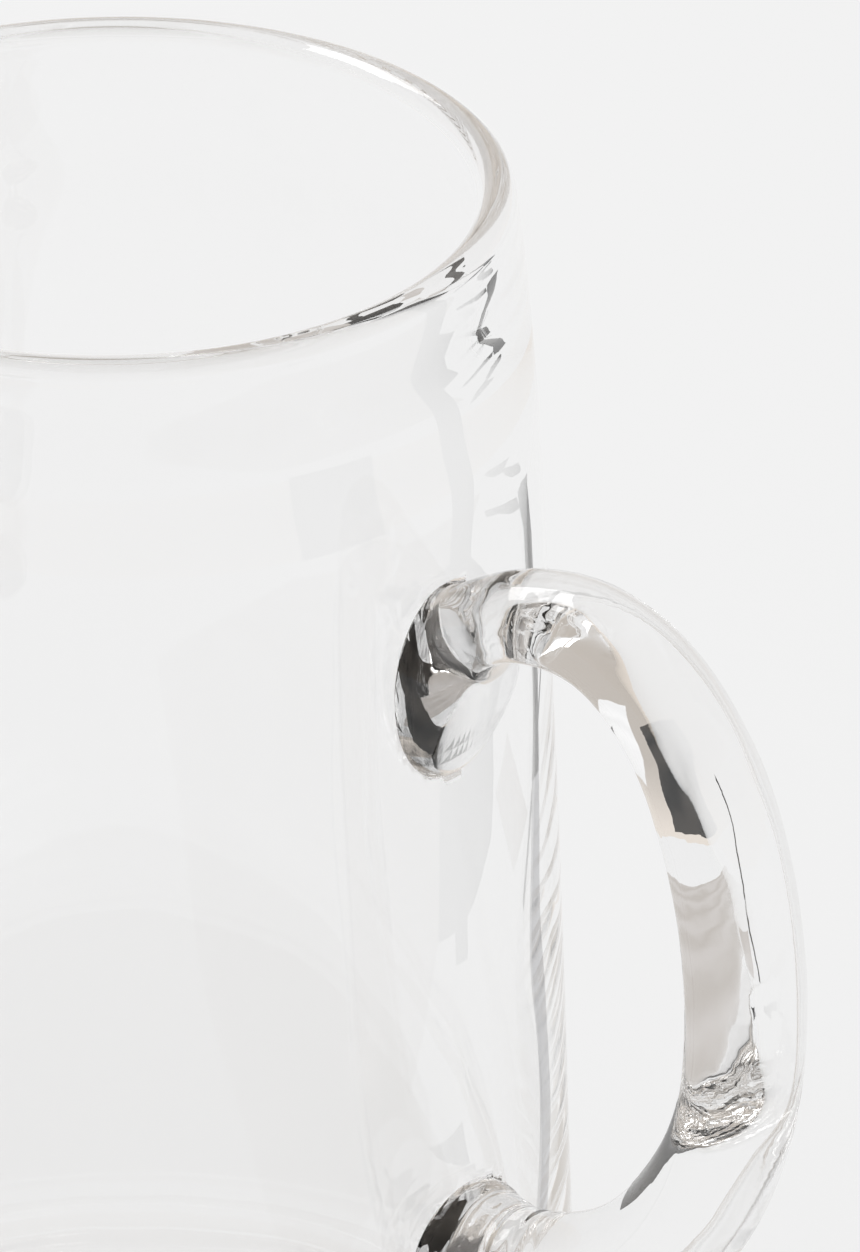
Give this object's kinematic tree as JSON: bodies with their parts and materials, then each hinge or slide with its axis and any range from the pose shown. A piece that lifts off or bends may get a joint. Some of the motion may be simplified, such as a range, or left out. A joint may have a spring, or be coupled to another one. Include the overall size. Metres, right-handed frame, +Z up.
{
  "type": "glass pitcher",
  "caption": "Clear glass pitcher: a gently tapered blown body with a rounded lip and a pulled pouring spout, and a thick solid ear handle fused to the wall.",
  "frame": {"origin": "centre of the flat underside, on the body's axis", "axes": "+Z up along the body's axis, +X towards the handle, -X towards the pouring spout"},
  "size_m": [0.1649, 0.1168, 0.2],
  "materials": {
    "body_glass": "clear mouth-blown soda-lime glass, fire-polished, glossy",
    "handle_glass": "clear solid soda-lime glass, hot-worked and fire-polished, glossy"
  },
  "bodies": {
    "root": {"blown_body": "body_glass", "applied_handle": "handle_glass"}
  },
  "joints": []
}
